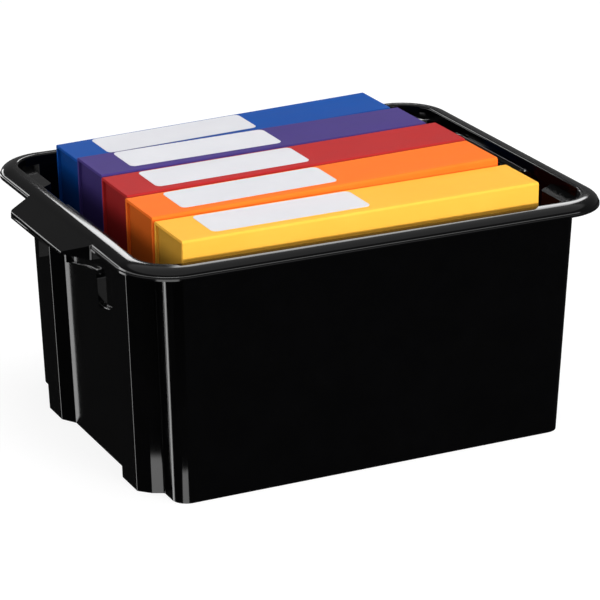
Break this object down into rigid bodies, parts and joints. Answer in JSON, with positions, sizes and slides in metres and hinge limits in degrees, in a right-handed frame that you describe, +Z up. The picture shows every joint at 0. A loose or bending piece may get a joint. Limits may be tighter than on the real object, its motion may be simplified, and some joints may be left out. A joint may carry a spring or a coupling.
{
  "type": "portable file box",
  "caption": "Open plastic tub with a rolled rim and a hooded grip at each end, carrying a row of covered board box files that stand with their spines up.",
  "frame": {"origin": "centre of the tub's footprint, on the surface it stands on", "axes": "+X along the length toward the right grip, -Y is the front, +Z up"},
  "size_m": [0.5068, 0.373, 0.251],
  "materials": {
    "black_plastic": "glossy moulded",
    "blue_board": "satin coated cover",
    "purple_board": "satin coated cover",
    "red_board": "satin coated cover",
    "orange_board": "satin coated cover",
    "yellow_board": "satin coated cover",
    "label_paper": "satin paper",
    "spring_steel": "bright plated",
    "catch_plastic": "satin"
  },
  "bodies": {
    "crate": {"crate_body": "black_plastic"},
    "blue_file": {"blue_case": "blue_board", "blue_tray": "blue_board", "blue_label": "label_paper", "blue_lock_spring": "spring_steel", "blue_catch": "catch_plastic"},
    "purple_file": {"purple_case": "purple_board", "purple_tray": "purple_board", "purple_label": "label_paper", "purple_lock_spring": "spring_steel", "purple_catch": "catch_plastic"},
    "red_file": {"red_case": "red_board", "red_tray": "red_board", "red_label": "label_paper", "red_lock_spring": "spring_steel", "red_catch": "catch_plastic"},
    "orange_file": {"orange_case": "orange_board", "orange_tray": "orange_board", "orange_label": "label_paper", "orange_lock_spring": "spring_steel", "orange_catch": "catch_plastic"},
    "yellow_file": {"yellow_case": "yellow_board", "yellow_tray": "yellow_board", "yellow_label": "label_paper", "yellow_lock_spring": "spring_steel", "yellow_catch": "catch_plastic"}
  },
  "joints": [
    {"name": "blue_file_lift", "type": "slide", "parent": "crate", "child": "blue_file", "axis": [-0.0314, 0, 0.9995], "range_m": [0, 0.25]},
    {"name": "purple_file_lift", "type": "slide", "parent": "crate", "child": "purple_file", "axis": [-0.0157, 0, 0.9999], "range_m": [0, 0.25]},
    {"name": "red_file_lift", "type": "slide", "parent": "crate", "child": "red_file", "axis": [-0.0199, 0, 0.9998], "range_m": [0, 0.25]},
    {"name": "orange_file_lift", "type": "slide", "parent": "crate", "child": "orange_file", "axis": [-0.0209, 0, 0.9998], "range_m": [0, 0.25]},
    {"name": "yellow_file_lift", "type": "slide", "parent": "crate", "child": "yellow_file", "axis": [-0.0087, 0, 1], "range_m": [0, 0.25]}
  ]
}
